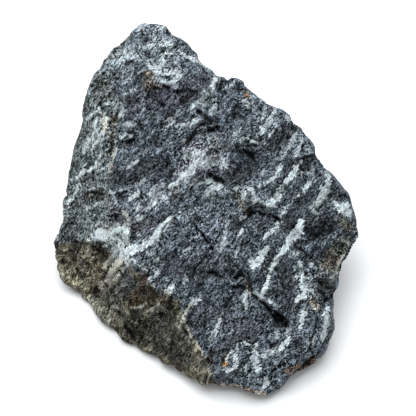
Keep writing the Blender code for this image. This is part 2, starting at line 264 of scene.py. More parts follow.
    (0.4, (112, 307, 2), (117, 304, 1.4), (118, 310, 1.4)),
    (0.35, (176, 324, 1), (183, 332, 1.3), (190, 342, 1)),
    (0.9, (116, 229, 1.2), (121, 228, 1.5), (126, 229, 1.9), (124, 234, 1.8), (118, 238, 1.7),
     (112, 242, 1.5)),
    (0.9, (127, 228, 1.8), (127, 236, 2.2), (127, 242, 1.8), (121, 242, 1.6), (116, 246, 1.4),
     (112, 249, 1.2)),
    (0.5, (83, 222, 1), (90, 220, 1.2)),
    (0.75, (94, 226, 1), (99, 223, 1.3), (104, 221, 1)),
    (0.6, (124, 212, 1), (127, 216, 1.4), (128, 221, 1.6), (126, 226, 1.2)),
    (0.6, (150, 205, 4), (155, 197, 5.5), (158, 191, 4), (152, 192, 4), (163, 197, 3)),
    (0.6, (140, 206, 3), (143, 209, 2.6), (136, 208, 2)),
    (0.65, (131, 199, 1.8), (135, 196, 2.2), (139, 193, 1.6)),
    (0.6, (170, 187, 1.6), (174, 184, 2), (179, 183, 1.6)),
    (0.4, (181, 182, 2), (190, 183, 2.4), (196, 180, 2)),
    (0.8, (213, 194, 2), (212, 189, 3.6), (217, 186, 4), (221, 186, 2.6), (208, 191, 2.6),
     (209, 196, 1.8)),
    (0.6, (205, 181, 2.6), (211, 182, 3)),
    (0.5, (182, 176, 3), (190, 170, 5), (197, 163, 5), (205, 163, 5), (213, 160, 4.5), (222, 163, 4),
     (226, 165, 2.6)),
    (0.4, (185, 157, 3), (193, 155, 4), (203, 152, 3)),
    (0.6, (188, 249, 1.2), (184, 251, 1.6), (180, 251, 1.2)),
    (0.4, (152, 253, 0.8), (155, 256, 1), (158, 260, 0.8)),
    (0.6, (186, 277, 1.6), (186, 281, 2), (184, 283, 1.4)),
    (0.5, (166, 280, 1.4), (168, 279, 1.2)),
    (0.85, (166, 292, 2), (169, 289, 3), (172, 287, 3), (170, 293, 2.2)),
    (0.7, (153, 281, 0.8), (154, 285, 1), (155, 287, 1)),
    (0.6, (137, 218, 1.6), (141, 217, 2.2)),
    (0.5, (128, 167, 2), (134, 163, 2.2), (139, 159, 1.5)),
    (0.35, (120, 191, 1), (126, 189, 1.4), (133, 187, 1.6), (139, 183, 1.6), (146, 180, 1.4)),
    (0.6, (160, 188, 1), (163, 185, 1.2), (167, 183, 1)),
    (0.7, (196, 239, 0.8), (199, 235, 1.1)),
)

# Where the bands are stained cream.
CREAM = (
    ((102, 114, 1), (105, 122, 2), (104, 130, 2)),
    ((117, 118, 1), (115, 138, 1), (112, 160, 1), (109, 184, 1)),
    ((124, 212, 2), (127, 222, 2)),
    ((121, 262, 3), (112, 272, 4), (103, 284, 3)),
    ((186, 308, 5), (184, 322, 5), (195, 342, 5), (209, 366, 5), (209, 382, 5)),
    ((226, 352, 2), (226, 361, 2)),
)

# Cracks, pits and hollows: depth in millimetres, which also sets how much painted shade they get,
# then the pixels they run through with the half width at each.
HOLLOWS = (
    # Under the peak and across the middle
    (2.6, (195, 109, 0.9), (200, 112, 1.3), (204, 115, 1.7), (208, 119, 1.7), (212, 123, 1.4)),
    (1.4, (206, 119, 1.2), (208, 124, 1.6)),
    (3.8, (208, 128, 1.8), (213, 130, 2.7), (217, 127, 1.9)),
    (2.0, (204, 124, 1.3), (200, 126, 1.3), (196, 129, 1.1), (191, 136, 1.1), (186, 142, 0.9),
     (182, 147, 0.7)),
    (1.0, (226, 119, 0.9), (233, 112, 0.8), (236, 104, 0.8)),
    (3.0, (122, 142, 1.2), (127, 142, 2.4), (131, 141, 2.6), (134, 139, 1.8)),
    (1.0, (98, 119, 0.8), (98, 124, 1), (97, 129, 0.8)),
    (1.2, (178, 92, 2), (188, 90, 2.6), (196, 93, 2), (182, 100, 2.6)),
    (1.4, (160, 103, 2), (164, 106, 1.6)),
    (1.6, (164, 85, 1.4), (168, 88, 1.4)),
    (1.4, (166, 76, 1), (170, 78, 1.4)),
    (1.6, (205, 80, 1.4), (209, 79, 1.4)),
    (3.6, (209, 174, 1.3), (214, 177, 2.6), (219, 180, 3.2), (223, 182, 2)),
    (1.4, (224, 184, 0.8), (229, 188, 0.9), (234, 192, 0.7)),
    # The right shoulder
    (1.4, (259, 107, 1), (261, 111, 1.4)),
    (1.4, (250, 120, 1), (252, 125, 1.3), (253, 131, 1.3)),
    (1.2, (238, 114, 1), (243, 117, 1.4), (247, 121, 1)),
    (1.8, (245, 146, 0.9), (250, 145, 1.4), (256, 146, 1)),
    (2.2, (246, 152, 1.4), (250, 155, 2.4), (253, 158, 1.6)),
    (1.2, (232, 152, 1), (238, 151, 1.6), (243, 153, 1.2)),
    (2.0, (303, 158, 1), (310, 156, 1.6), (316, 154, 1.8)),
    (1.4, (340, 196, 0.8), (344, 195, 1), (349, 199, 1.3)),
    (2.6, (250, 213, 1), (255, 212, 1.5), (260, 213, 1.8), (265, 214, 1.2), (269, 216, 0.8)),
    (1.4, (256, 207, 1.4), (262, 208, 1.6)),
    (2.4, (273, 216, 1), (277, 218, 1.6), (280, 221, 1.2)),
    # The lower right
    (2.4, (195, 226, 0.8), (200, 231, 1.1), (204, 236, 1.1), (208, 243, 1.2), (212, 248, 1)),
    (2.4, (209, 272, 1.2), (216, 274, 1.9), (221, 277, 1.7), (225, 278, 1)),
    (1.4, (228, 256, 0.7), (232, 262, 0.8), (235, 266, 0.8)),
    (2.4, (234, 277, 1.2), (240, 274, 1.8), (244, 276, 1.4)),
    (2.4, (232, 287, 1.3), (239, 288, 2), (244, 285, 1.6)),
    (1.4, (246, 278, 0.9), (249, 284, 1.3), (252, 290, 1)),
    (1.8, (252, 294, 0.9), (257, 298, 1), (262, 302, 1.2)),
    (3.0, (263, 303, 1.3), (267, 307, 2), (271, 311, 2)),
    (3.6, (272, 312, 2.6), (276, 315, 4.2), (281, 319, 4), (286, 324, 2.6)),
    (1.3, (294, 246, 0.6), (301, 249, 0.7), (309, 256, 1), (316, 263, 0.9), (320, 269, 0.7)),
    (1.4, (317, 279, 0.8), (321, 284, 1.4), (326, 281, 1)),
    (1.6, (318, 290, 0.9), (322, 294, 1.5), (327, 297, 1.3)),
    (1.0, (351, 246, 0.7), (347, 252, 0.8), (344, 257, 0.8), (341, 266, 0.7)),
    (1.0, (333, 247, 0.6), (337, 252, 0.7), (343, 253, 0.7)),
    (2.4, (331, 296, 1.6), (325, 301, 1.4), (321, 307, 1.2), (319, 312, 1)),
    (1.6, (318, 318, 0.7), (314, 330, 0.9), (310, 345, 1.2), (311, 352, 1.8)),
    (2.4, (302, 366, 1.5), (308, 362, 2), (313, 357, 2)),
    # The left and the brown side
    (0.7, (119, 214, 1), (114, 216, 1.6), (118, 222, 1.2), (123, 223, 0.8)),
    (1.0, (88, 193, 1.4), (94, 192, 2), (101, 194, 1.8)),
    (1.0, (105, 283, 0.8), (109, 288, 1), (113, 292, 1), (118, 298, 0.9)),
    (1.4, (111, 304, 1.2), (117, 303, 1.5)),
    (1.4, (119, 270, 1.4), (123, 275, 2)),
    (1.0, (150, 298, 1.2), (155, 301, 1.5)),
    (1.3, (118, 311, 1.4), (123, 316, 1.8)),
    (1.8, (125, 325, 1.6), (129, 330, 2.4), (133, 335, 1.6)),
    (1.6, (208, 358, 1), (209, 362, 1.6)),
    (1.0, (191, 313, 1), (189, 320, 1.2), (193, 327, 1)),
)

# Where the surface stands out a little more than the solid's: height in millimetres, then the
# pixels it runs through with the half width at each. A half width below nothing keeps it lower.
SWELLS = (
    (2.2, (138, 29, 5), (150, 25, 6), (166, 30, 4)),
    (3.2, (59, 271, 3), (66, 282, 5), (78, 293, 9), (88, 304, 7), (106, 324, 7)),
    (2.2, (146, 353, 6), (160, 360, 6)),
    (1.6, (250, 391, 5), (268, 392, 5)),
    (1.4, (83, 102, 4), (84, 110, 4)),
    (3.4, (145, 25, 1), (149, 24, 1)),
    (2.4, (67, 195, 1), (66, 200, 2)),
    (1.4, (256, 99, 3), (264, 104, 3)),
    (1.2, (284, 112, 3), (288, 116, 1)),
    (1.2, (312, 140, 2), (315, 148, 2)),
    (1.4, (190, 378, 4), (200, 384, 4)),
    (1.4, (292, 370, 3), (310, 362, 4)),
    (2.4, (177, 34, 1), (186, 44, 2), (194, 56, 1)),
    (2.8, (175, 220, -3), (178, 221, -3)),
    (1.0, (334, 303, 3)),
)

# Colours of the ground between the bands, some of them painted shade in pits and under ledges:
# linear colour, strength and softness in pixels, then the pixels where it lies with the half width at
# each.
TINTS = (
    # Lighter grey peak and greenish left side
    ((0.067, 0.079, 0.088), 0.9, 12, (150, 42, 18), (165, 60, 20), (140, 60, 18), (120, 70, 12)),
    ((0.039, 0.045, 0.052), 0.85, 4, (133, 36, 2), (141, 29, 3), (150, 26, 3), (163, 29, 3),
     (172, 38, 3), (186, 48, 2), (200, 62, 2)),
    ((0.065, 0.072, 0.065), 0.7, 6, (101, 82, 4), (106, 90, 6), (100, 97, 5)),
    # Painted shade along the small bump on the left edge.
    ((0.018, 0.021, 0.02), 0.9, 3, (87, 99, 3), (85, 110, 3)),
    ((0.048, 0.056, 0.055), 0.85, 3, (82, 125, 2), (78, 140, 2), (76, 152, 3), (74, 165, 3),
     (71, 178, 2), (68, 190, 2), (66, 202, 2)),
    ((0.059, 0.055, 0.045), 0.85, 3, (113, 115, 2), (110, 122, 3)),
    ((0.034, 0.035, 0.032), 0.9, 4, (88, 196, 5), (96, 196, 6), (105, 197, 5)),
    # Painted shade under the overhang of the peak, and dark slate between the bands
    ((0.036, 0.037, 0.046), 0.9, 7, (205, 84, 4), (188, 92, 8), (165, 98, 10), (140, 102, 8),
     (128, 112, 5)),
    # Painted shade in the pit below a small ledge.
    ((0.009, 0.011, 0.014), 0.92, 7, (243, 154, 8), (254, 160, 12), (236, 170, 8)),
    ((0.021, 0.024, 0.028), 0.8, 6, (268, 146, 6), (280, 138, 8), (290, 130, 5)),
    ((0.034, 0.04, 0.047), 0.6, 9, (290, 160, 9), (302, 184, 11), (284, 206, 8)),
    ((0.027, 0.031, 0.036), 0.8, 6, (262, 226, 8), (275, 218, 5), (288, 224, 6)),
    # Dark slate, darkened further by painted shade where the surface dips.
    ((0.008, 0.009, 0.011), 0.95, 6, (312, 228, 9), (324, 226, 9), (326, 214, 4)),
    ((0.023, 0.026, 0.031), 0.8, 7, (282, 290, 9), (287, 275, 8), (290, 308, 8)),
    ((0.024, 0.028, 0.033), 0.8, 4, (293, 341, 5), (297, 347, 3)),
    ((0.07, 0.08, 0.088), 0.8, 4, (313, 340, 5), (308, 348, 3)),
    ((0.035, 0.04, 0.047), 0.75, 8, (205, 312, 12), (230, 320, 12), (250, 330, 12), (222, 344, 6)),
    ((0.022, 0.025, 0.03), 0.9, 8, (165, 262, 10), (180, 266, 9)),
    ((0.029, 0.033, 0.039), 0.9, 8, (195, 266, 9), (225, 264, 9)),
    ((0.017, 0.019, 0.023), 0.85, 8, (118, 180, 8), (140, 172, 9), (158, 168, 8)),
    ((0.036, 0.038, 0.043), 0.7, 8, (137, 226, 8), (150, 224, 6), (118, 218, 6)),
    ((0.058, 0.059, 0.066), 0.85, 4, (114, 212, 5), (115, 219, 5)),
    ((0.028, 0.028, 0.031), 0.85, 3, (132, 226, 4), (140, 227, 5)),
    ((0.038, 0.04, 0.046), 0.8, 3, (133, 237, 2), (139, 240, 2)),
    ((0.09, 0.105, 0.115), 0.7, 4, (248, 99, 4), (255, 104, 4)),
    # Paler, rosy ground in the middle
    ((0.116, 0.117, 0.132), 0.8, 9, (185, 172, 8), (200, 164, 10), (214, 158, 8), (195, 152, 6)),
    ((0.08, 0.09, 0.102), 0.6, 9, (200, 186, 7), (225, 196, 6), (205, 118, 4)),
    ((0.105, 0.123, 0.143), 0.8, 7, (140, 206, 4), (152, 199, 9), (163, 195, 5)),
    ((0.062, 0.073, 0.085), 0.8, 12, (185, 215, 12), (215, 215, 14), (225, 240, 12), (195, 245, 10)),
    # Painted shade at the foot of the step below the peak.
    ((0.015, 0.017, 0.021), 0.88, 7, (166, 114, 5), (178, 118, 5), (190, 117, 3)),
    ((0.016, 0.018, 0.021), 0.85, 6, (230, 171, 5), (243, 180, 5)),
    ((0.11, 0.095, 0.07), 0.8, 2, (244, 278, 1), (247, 286, 1), (252, 294, 1)),
    # Painted shade in a pit below the peak.
    ((0.028, 0.03, 0.026), 0.8, 3, (208, 122, 2), (213, 127, 3)),
    # Pale ground where the bands meet on the left
    ((0.195, 0.201, 0.193), 0.85, 5, (92, 236, 3), (104, 232, 5), (116, 236, 6), (124, 246, 5)),
    ((0.06, 0.061, 0.062), 0.8, 2, (117, 243, 0.8), (122, 238, 1)),
    ((0.06, 0.061, 0.058), 0.8, 2, (103, 246, 0.8), (109, 252, 1), (114, 246, 0.8)),
    # Painted light: lighter ground that evens out the painted shade of a small dent beside a band's end.
    ((0.11, 0.128, 0.14), 0.8, 3, (177, 218, 2), (179, 214, 2)),
    # Lighter, darker and rusty parts of the brown side
    ((0.12, 0.111, 0.078), 0.8, 8, (66, 266, 6), (78, 274, 10), (88, 286, 8), (92, 262, 6)),
    ((0.136, 0.136, 0.104), 0.8, 6, (94, 300, 5), (100, 310, 6), (107, 320, 5)),
    ((0.15, 0.143, 0.12), 0.85, 5, (126, 258, 4), (118, 268, 5), (110, 278, 5), (104, 286, 3)),
    ((0.052, 0.047, 0.032), 0.85, 5, (64, 262, 2), (60, 252, 3)),
    ((0.05, 0.045, 0.033), 0.8, 6, (78, 248, 6), (90, 250, 7), (98, 254, 5), (100, 266, 5)),
    ((0.062, 0.05, 0.034), 0.8, 5, (104, 262, 4), (100, 274, 4), (94, 284, 4)),
    ((0.04, 0.044, 0.044), 0.85, 6, (122, 274, 5), (130, 282, 6), (122, 290, 5), (112, 296, 5)),
    ((0.016, 0.016, 0.013), 0.92, 4, (119, 302, 3), (117, 310, 3), (124, 318, 4), (130, 329, 5)),
    ((0.019, 0.019, 0.014), 0.9, 8, (136, 318, 6), (148, 332, 8), (134, 340, 6), (160, 318, 6)),
    ((0.036, 0.037, 0.032), 0.8, 10, (165, 322, 10), (172, 342, 12), (184, 360, 10), (160, 348, 8)),
    ((0.056, 0.05, 0.034), 0.8, 5, (176, 372, 4), (196, 378, 5), (150, 356, 4), (132, 346, 3)),
    # These four: painted shadow under a small overhang of the brown side, and painted shade in its pits.
    ((0.038, 0.023, 0.011), 0.95, 4, (135, 295, 2), (139, 300, 3), (134, 304, 2)),
    ((0.016, 0.011, 0.006), 0.95, 4, (141, 292, 3), (149, 292, 4), (158, 296, 4), (150, 301, 3)),
    ((0.03, 0.022, 0.016), 0.9, 3, (163, 298, 3), (172, 300, 3)),
    ((0.024, 0.012, 0.01), 0.95, 3, (141, 276, 2), (146, 277, 3), (142, 280, 2)),
    ((0.1, 0.096, 0.074), 0.6, 4, (180, 316, 2), (185, 330, 2.5), (193, 346, 2.5), (202, 362, 3),
     (206, 374, 3)),
    # Painted shade beside the ridge between the brown side and the broad face.
    ((0.03, 0.034, 0.041), 0.85, 4, (194, 308, 3), (191, 318, 3), (196, 328, 3)),
    # These two: painted shade in a pocket and a pit near the foot of the brown side.
    ((0.024, 0.027, 0.032), 0.85, 3, (213, 350, 3), (220, 356, 4), (222, 350, 2)),
    ((0.026, 0.02, 0.016), 0.9, 3, (209, 357, 2.5), (211, 362, 2)),
    # Olive and tan on the right edge and the low rim
    ((0.081, 0.078, 0.064), 0.9, 4, (342, 222, 4), (348, 226, 4)),
    ((0.093, 0.094, 0.082), 0.9, 5, (343, 243, 6), (336, 256, 8), (328, 264, 7), (334, 270, 4)),
    ((0.017, 0.02, 0.018), 0.85, 4, (329, 284, 6), (334, 278, 4)),
    ((0.13, 0.119, 0.098), 0.8, 3, (313, 301, 4), (317, 307, 3)),
    # Painted shade in the cracks beside the flake on the right edge.
    ((0.011, 0.013, 0.012), 0.9, 2, (319, 280, 2), (322, 287, 3), (331, 285, 4), (323, 293, 3)),
    ((0.095, 0.092, 0.078), 0.7, 1, (316, 275, 0.6), (315, 284, 0.6), (318, 294, 0.6)),
    ((0.15, 0.12, 0.09), 0.9, 3, (203, 384, 1), (222, 386, 1), (238, 387, 1), (250, 391, 1),
     (264, 394, 1)),
    ((0.07, 0.044, 0.03), 0.9, 3, (289, 371, 3), (296, 368, 2), (304, 367, 2), (313, 360, 2)),
    ((0.04, 0.042, 0.035), 0.85, 2, (339, 245, 3), (345, 248, 3)),
    ((0.09, 0.08, 0.066), 0.75, 3, (327, 264, 4), (331, 254, 4), (336, 262, 3)),
    # Rust, tan and orange spots
    ((0.068, 0.058, 0.048), 0.8, 4, (148, 75, 3), (151, 81, 5), (147, 86, 4), (157, 86, 4)),
    ((0.058, 0.055, 0.045), 0.85, 3, (235, 194, 2), (239, 200, 2.5), (243, 207, 3), (247, 213, 2)),
    ((0.068, 0.065, 0.056), 0.6, 4, (173, 188, 3), (174, 195, 3)),
    ((0.09, 0.086, 0.068), 0.6, 4, (117, 118, 2), (113, 131, 3), (112, 152, 2)),
    ((0.05, 0.05, 0.046), 0.6, 5, (214, 138, 3), (222, 147, 4)),
    ((0.036, 0.024, 0.018), 0.8, 2, (186, 142, 1.2), (190, 136, 1)),
)

# Rust and olive spots, which cover the white too: linear colour, then middle and radius in pixels.
SPOTS = (
    ((0.3, 0.15, 0.022), (225, 364, 2.4)),
    ((0.1, 0.048, 0.016), (247, 96, 2.2)),
    ((0.034, 0.032, 0.015), (245, 92, 2.4)),
    ((0.12, 0.042, 0.016), (112, 167, 1.2)),
    ((0.11, 0.078, 0.042), (148, 73, 1.6)),
)

# The upper edge of the brown weathered side and the right edge of the grey left side, then the
# colours of the ground, of the left side and of the brown side from dark to light.
BROWN_EDGE = (
    (40, 243), (70, 242), (85, 242), (100, 244), (108, 250), (113, 258), (118, 266), (130, 268),
    (140, 273), (150, 285), (160, 291), (172, 296), (182, 303), (184, 310), (183, 320), (188, 330),
    (195, 343), (203, 355), (208, 365), (212, 378), (215, 396),
)
LEFT_EDGE = (
    (122, 55), (116, 75), (119, 100), (117, 120), (114, 141), (111, 167), (109, 191), (110, 202),
    (118, 210), (125, 217), (128, 232), (126, 250),
)
GROUND = (0.042, 0.051, 0.06)
LEFT_GREY = (0.07, 0.081, 0.083)
BROWN_DARK = (0.022, 0.021, 0.014)
BROWN = (0.055, 0.052, 0.038)
BROWN_LIGHT = (0.123, 0.112, 0.082)


def ease(start, end, value):
    """A smooth step from 0 at the start to 1 at the end."""
    part = np.clip((value - start) / (end - start), 0.0, 1.0)
    return part * part * (3.0 - 2.0 * part)


def pixels_of(places):
    """Where the eye sees places on the stone: columns of pixels across and down."""
    view = (places - VIEW_MIDDLE) @ VIEW_AXES.T
    nearness = EYE[2] / (EYE[2] - view[:, 2])
    across = IMAGE_SIZE / 2 + (view[:, 0] - EYE[0]) * nearness / PIXEL
    down = IMAGE_SIZE / 2 - (view[:, 1] - EYE[1]) * nearness / PIXEL
    return np.stack((across, down), axis=1)


def stretches(pixels, line):
    """The ends of each stretch of a line, and how far along it and away from it each pixel is."""
    for start, end in zip(line[:-1], line[1:]):
        start, end = np.array(start, dtype=float), np.array(end, dtype=float)
        run = end[:2] - start[:2]
        apart = pixels - start[:2]
        along = np.clip(apart @ run / max(run @ run, 1e-9), 0.0, 1.0)
        yield start, end, along, np.linalg.norm(apart - along[:, None] * run, axis=1)


def stroke_reach(pixels, stroke):
    """How far inside a stroke each pixel is, in pixels; outside it the number is negative."""
    reach = np.full(len(pixels), -1e3)
    line = stroke if len(stroke) > 1 else stroke * 2
    for start, end, along, distance in stretches(pixels, line):
        reach = np.maximum(reach, start[2] + along * (end[2] - start[2]) - distance)
    return reach


def ledge_depth(pixels, deepest, stroke):
    """Depth below a small ledge: steep under the stroke, then rising again further down."""
    width = sum(knot[2] for knot in stroke) / len(stroke)
    depth = np.zeros(len(pixels))
    for turn in range(LEDGE_STEPS):
        moved = pixels - turn * (0.8 + 0.6 * width) * DOWNHILL
        inside = ease(-1.0, 1.0, stroke_reach(moved, stroke))
        depth = np.maximum(depth, deepest * (1.0 - turn / LEDGE_STEPS) * inside)
    return depth


def side_of(pixels, line):
    """How far each pixel lies to the left of a line drawn downwards, in pixels."""
    nearest = np.full(len(pixels), 1e9)
    side = np.zeros(len(pixels))
    for start, end, _, distance in stretches(pixels, line):
        run, apart = end - start, pixels - start
        turn = run[0] * apart[:, 1] - run[1] * apart[:, 0]
        side = np.where(distance < nearest, np.sign(turn), side)
        nearest = np.minimum(nearest, distance)
    return side * nearest


def noise_of(places, seed):
    shift = Vector((seed, 0.0, 0.0))
    return np.array([noise.noise(Vector(place) + shift) for place in places])


def noises_of(places, *seeds):
    return np.stack([noise_of(places, seed) for seed in seeds], axis=1)


def rough_noise_of(places, seed):
    shift = Vector((seed, 0.0, 0.0))
    return np.array([noise.fractal(Vector(place) + shift, 0.9, 2.0, 2) for place in places])


def facet_heights(places, sizes, seed):
    """Flat facets that meet at creases and small steps, one for each grain cell."""
    cells = places @ GRAIN_AXES.T / np.array(sizes) + seed
    heights = np.empty(len(cells))
    for index, cell in enumerate(cells):
        middle = noise.voronoi(Vector(cell))[1][0]
        slant = noise.cell_vector(middle * 17.3) - Vector((0.5, 0.5, 0.5))
        level = noise.cell(middle * 29.9) - 0.5
        heights[index] = level + 2.0 * slant.dot(Vector(cell) - middle)
    return heights


def vectors_of(piece, name):
    flat = np.empty(3 * len(piece.data.vertices))
    piece.data.vertices.foreach_get(name, flat)
    return flat.reshape(-1, 3)


def places_of(piece):
    return vectors_of(piece, "co") / MM


def facings_of(piece):
    return vectors_of(piece, "normal")


def move_to(piece, places):
    places[:, 2] = np.maximum(places[:, 2], 0.0)
    piece.data.vertices.foreach_set("co", (places * MM).ravel())
    piece.data.update()


def bake_modifier(piece, kind, **settings):
    """Adds a modifier, takes the mesh it makes and removes it."""
    modifier = piece.modifiers.new(kind.title(), kind)
    for name, value in settings.items():
        setattr(modifier, name, value)
    graph = bpy.context.evaluated_depsgraph_get()
    made = bpy.data.meshes.new_from_object(piece.evaluated_get(graph))
    piece.modifiers.remove(modifier)
    piece.data = made


def fine_net(node):
    """A copy of the solid under an even net of small faces, with its facets eased."""
    piece = bpy.data.objects.new("zebra_rock_surface", node.data.copy())
    bpy.context.scene.collection.objects.link(piece)
    bake_modifier(piece, "REMESH", mode="VOXEL", voxel_size=NET_SIZE * MM, adaptivity=0.0)
    bake_modifier(piece, "SMOOTH", factor=0.5, iterations=3)
    return piece


def wandering(places):
    """Pixels of places on the stone, shifted a little so that what they place has a ragged edge."""
    flat = places @ VIEW_AXES.T * np.array((1.0, 1.0, 0.0)) / RAGGED_SIZE
    return pixels_of(places) + RAGGED_SHIFT * noises_of(flat, 51.0, 57.0)


def swell_heights(places):
    """How much more the surface stands out than the solid's, in millimetres."""
    pixels = pixels_of(places)
    swell = np.zeros(len(places))
    for height, *stroke in SWELLS:
        swell = np.maximum(swell, height * ease(-8.0, 2.0, stroke_reach(pixels, stroke)))
    return swell


def hollow_depths(places):
    """How deep the cracks, pits and hollows of the view go, in millimetres."""
    pixels = wandering(places)
    depth = np.zeros(len(places))
    for deepest, *stroke in HOLLOWS:
        depth = np.maximum(depth, ledge_depth(pixels, deepest, stroke))
    return depth * (1.0 + 0.6 * noise_of(places / 4.0, 31.0))


def add_relief(piece):
    """Facets, chips and pits too fine for the solid, then the cracks and hollows of the view."""
    places = places_of(piece)
    facings = facings_of(piece)
    free = ease(0.0, 5.0, places[:, 2])
    calm = 0.2 + 0.8 * ease(0.05, 0.5, np.abs(facings @ OUT))
    lift = np.zeros(len(places))
    for height, sizes, seed in FACETS:
        lift += height * facet_heights(places, sizes, seed)
    lift += 0.4 * rough_noise_of(places / 7.0, 13.0)
    swell = swell_heights(places)
    lift *= calm * (1.0 - 0.25 * swell)
    places = places + facings * ((lift + swell) * free)[:, None]
    towards_eye = ease(0.1, 0.4, facings @ OUT)
    places = places - OUT * (hollow_depths(places) * towards_eye * free)[:, None]
    move_to(piece, places)


def thin_hidden_side(piece):
    """Wider faces on the side away from the eye, to keep the whole within its triangles."""
    hidden = ease(0.05, -0.25, facings_of(piece) @ OUT)
    group = piece.vertex_groups.new(name="hidden")
    for level in range(1, 11):
        chosen = np.flatnonzero(np.ceil(hidden * 10.0) == level)
        group.add(chosen.tolist(), level / 10.0, "REPLACE")
    ratio = TRIANGLES / (2.0 * len(piece.data.polygons))
    bake_modifier(piece, "DECIMATE", ratio=ratio, vertex_group="hidden", vertex_group_factor=1.0)
    piece.vertex_groups.clear()


def smoothed(values, edges, times):
    """Values averaged over each point's neighbours, again and again."""
    ends = np.concatenate((edges[:, 0], edges[:, 1]))
    others = np.concatenate((edges[:, 1], edges[:, 0]))
    count = np.bincount(ends, minlength=len(values))
    for _ in range(times):
        columns = [np.bincount(ends, values[others, axis], len(values)) / count
                   for axis in range(values.shape[1])]
        values = 0.5 * values + 0.5 * np.stack(columns, axis=1)
    return values


def hollowness(piece):
    """How far each point lies below the ground around it, in millimetres."""
    edges = np.empty(2 * len(piece.data.edges), dtype=np.int32)
    piece.data.edges.foreach_get("vertices", edges)
    places = places_of(piece)
    around = smoothed(places, edges.reshape(-1, 2), 14)
    return np.einsum("ij,ij->i", around - places, facings_of(piece))


def store(piece, name, values, kind="FLOAT", field="value"):
    layer = piece.data.attributes.new(name, kind, "POINT")
    layer.data.foreach_set(field, values.astype(np.float32).ravel())


def lay_over(colours, colour, share):
    """Blends one colour, or one for each point, over the colours of the points."""
    colours += (np.asarray(colour) - colours) * share[:, None]


def hidden_bands(places):
    """Bands of the unseen sides: sheets along the grain that swell, pinch out and break."""
    grain = places @ GRAIN_AXES.T
    grain = grain + 5.0 * noises_of(places / 30.0, 71.0, 73.0, 79.0)
    field = noise_of(grain / np.array((34.0, 6.5, 22.0)), 83.0)
    broken = noise_of(grain / np.array((9.0, 7.0, 9.0)), 89.0)
    return np.clip(9.0 * (field - 0.34) + 2.0 * broken - 1.0, OUTSIDE, 3.0)


def hidden_brown(places):
    """How weathered the unseen sides are: in broad patches, and more so near the ground."""
    weathered = ease(0.05, 0.5, noise_of(places / 38.0, 97.0) + 0.35 * noise_of(places / 9.0, 99.0))
    low = 1.0 - ease(4.0, 40.0, places[:, 2])
    return 0.9 * np.clip(weathered + 0.6 * low, 0.0, 1.0)


def brown_colours(places):
    """The weathered brown, clouded from dark to tan."""
    cloud = noise_of(places / 11.0, 101.0) + 0.7 * noise_of(places / 4.0, 103.0)
    colours = np.tile(np.array(BROWN), (len(places), 1))
    lay_over(colours, BROWN_DARK, ease(-0.05, -0.6, cloud))
    lay_over(colours, BROWN_LIGHT, ease(0.15, 0.8, cloud))
    return colours


def band_layers(places, pixels, seen):
    """How far inside a white band each point is, in millimetres, and how white the band is."""
    reach = np.full(len(places), OUTSIDE)
    whiteness = np.full(len(places), 0.6)
    for level, *stroke in WHITE_BANDS:
        inside = stroke_reach(pixels, stroke) * PIXEL
        whiteness = np.where(inside > reach, level, whiteness)
        reach = np.maximum(reach, inside)
    reach = reach * seen + hidden_bands(places) * (1.0 - seen)
    return reach, whiteness * seen + 0.7 * (1.0 - seen)


def crack_layers(places, facings):
    """How far inside a crack or pit each point is, in millimetres, and how much painted shade it gets.
    """
    pixels = wandering(places)
    reach = np.full(len(places), OUTSIDE)
    painted_crack_shade = np.zeros(len(places))
    for deepest, *stroke in HOLLOWS:
        inside = stroke_reach(pixels, stroke) * PIXEL
        painted_crack_shade = np.where(inside > reach, min(1.0, 0.60 + deepest / 5.0), painted_crack_shade)
        reach = np.maximum(reach, inside)
    return reach, painted_crack_shade * ease(0.1, 0.4, facings @ OUT)


def ground_layers(places, pixels, seen):
    """The ground's colour, with painted shade in pits and under ledges, how brown it is and how grey."""
    colours = np.tile(np.array(GROUND), (len(places), 1))
    wander = noises_of(places / 5.0, 61.0, 67.0)
    left = ease(-3.0, 3.0, side_of(pixels + 5.0 * wander, LEFT_EDGE)) * seen
    lay_over(colours, LEFT_GREY, 0.85 * left)
    brown = ease(-3.0, 3.0, side_of(pixels + 6.0 * wander, BROWN_EDGE)) * seen
    brown += hidden_brown(places) * (1.0 - seen)
    lay_over(colours, brown_colours(places), brown)
    for colour, strength, softness, *stroke in TINTS:
        inside = stroke_reach(pixels + wander * 0.8 * softness, stroke)
        lay_over(colours, colour, strength * ease(-softness, softness * 0.6, inside) * seen)
    return colours, brown, left


def paint(piece):
    """Stores what the material reads: bands, cracks and their painted shade, hollows and ground colour.
    """
    places = places_of(piece)
    facings = facings_of(piece)
    pixels = pixels_of(places)
    seen = ease(-0.12, 0.12, facings @ OUT)
    reach, whiteness = band_layers(places, pixels, seen)
    crack, painted_crack_shade = crack_layers(places, facings)
    colours, brown, left = ground_layers(places, pixels, seen)
    for colour, *spot in SPOTS:
        share = ease(-1.0, 1.0, stroke_reach(pixels, spot)) * seen
        lay_over(colours, colour, share)
        whiteness *= 1.0 - share
    warm = 0.9 * brown
    for stroke in CREAM:
        warm = np.maximum(warm, ease(-3.0, 1.0, stroke_reach(pixels, stroke)) * seen)
    pale = ease(0.06, 0.14, colours[:, 1]) * (1.0 - brown)
    level = pixels[:, 1] + FLAT_GRAIN_SLOPE * (FLAT_GRAIN_COLUMN - pixels[:, 0])
    layers = {
        "band_reach": reach, "band_white": whiteness, "hollow": hollowness(piece),
        "crack_reach": crack, "crack_painted_shade": painted_crack_shade, "brown": brown, "warm": warm,
        "veined": 0.25 + 0.6 * np.maximum(pale, left),
        "flat_grain": ease(*FLAT_GRAIN_ROWS, level),
    }
    for name, values in layers.items():
        store(piece, name, values)
    store(piece, "ground", np.c_[colours, np.ones(len(colours))], "FLOAT_COLOR", "color")


